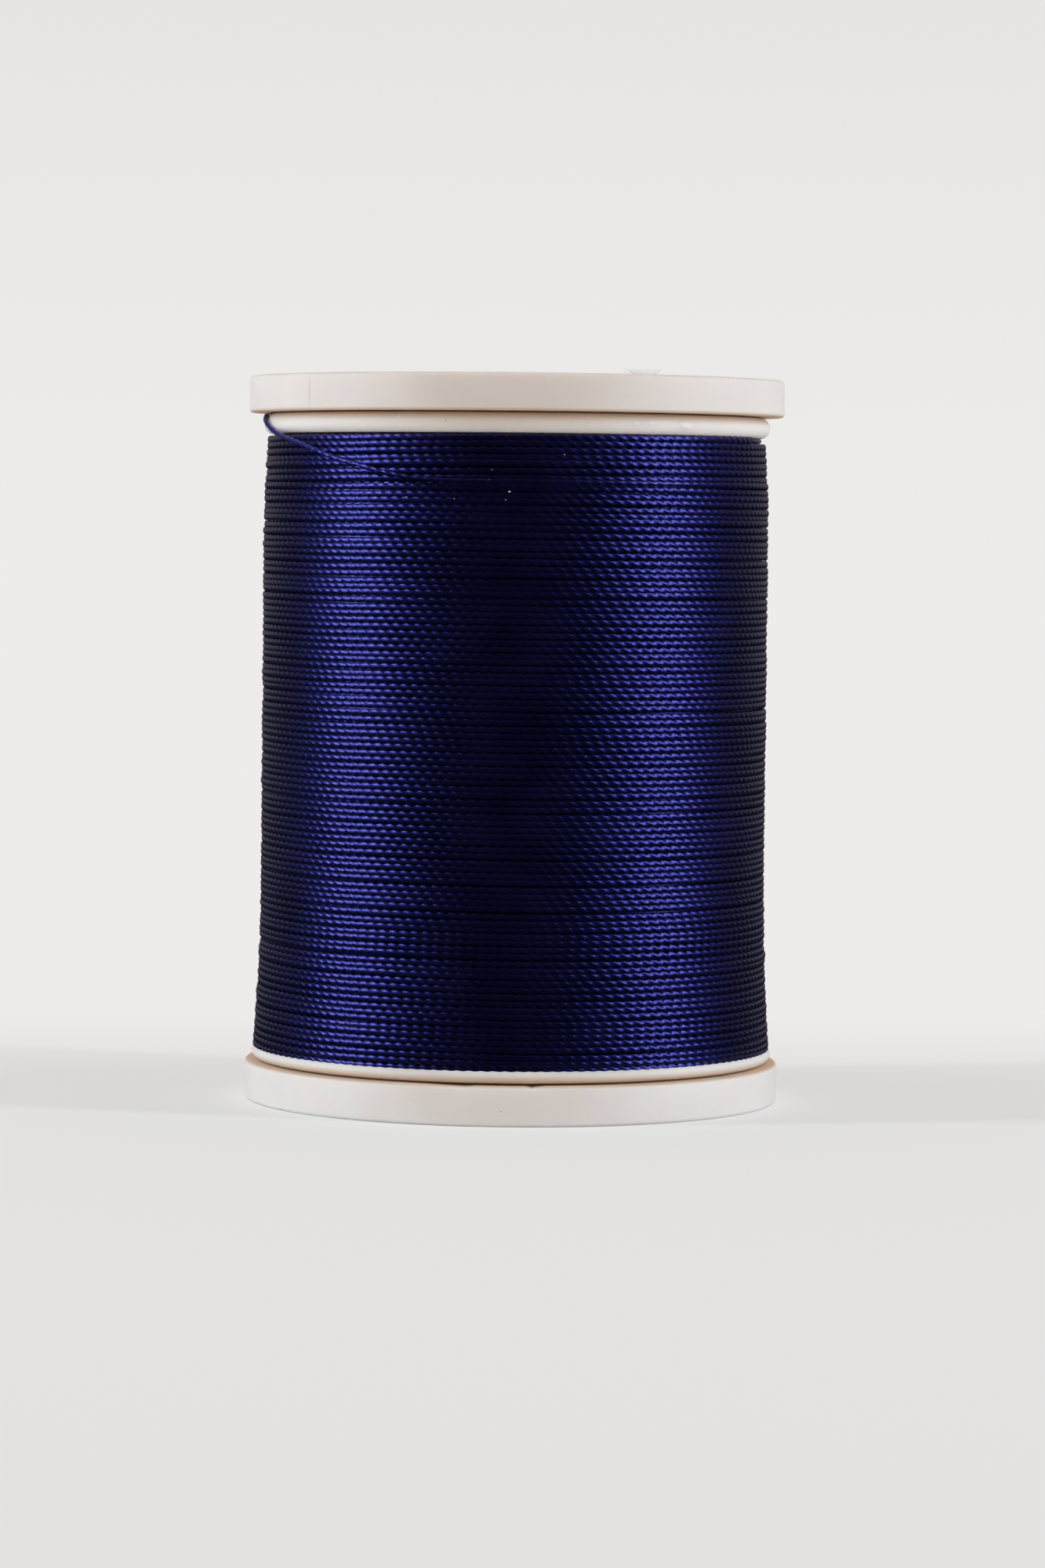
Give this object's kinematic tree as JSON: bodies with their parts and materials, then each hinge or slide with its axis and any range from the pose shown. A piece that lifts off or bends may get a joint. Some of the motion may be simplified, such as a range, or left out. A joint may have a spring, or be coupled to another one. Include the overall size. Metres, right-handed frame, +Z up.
{
  "type": "spool of thread",
  "caption": "Round thread spool with a wound barrel between thin flanges and a snap cap over each end; each cap slides off its flange to open a slit for the thread tail.",
  "frame": {"origin": "centre of the bottom face, on the spool's axis", "axes": "+Z up along the spool's axis, from the bottom cap to the top cap; -Y faces the viewer of the picture"},
  "size_m": [0.032, 0.032, 0.0432],
  "materials": {
    "barrel_plastic": "satin moulded polypropylene, warm white",
    "cap_plastic": "satin moulded polypropylene, warm white",
    "thread": "lustrous two-ply filament polyester, dark violet blue"
  },
  "bodies": {
    "barrel": {"barrel": "barrel_plastic", "thread_winding": "thread", "thread_outer_layer": "thread", "thread_tail": "thread"},
    "top_cap": {"top_cap": "cap_plastic"},
    "bottom_cap": {"bottom_cap": "cap_plastic"}
  },
  "joints": [
    {"name": "top_cap_slide", "type": "slide", "parent": "barrel", "child": "top_cap", "axis": [0, 0, 1], "range_m": [0, 0.0022]},
    {"name": "bottom_cap_slide", "type": "slide", "parent": "barrel", "child": "bottom_cap", "axis": [0, 0, -1], "range_m": [0, 0.0022]}
  ]
}
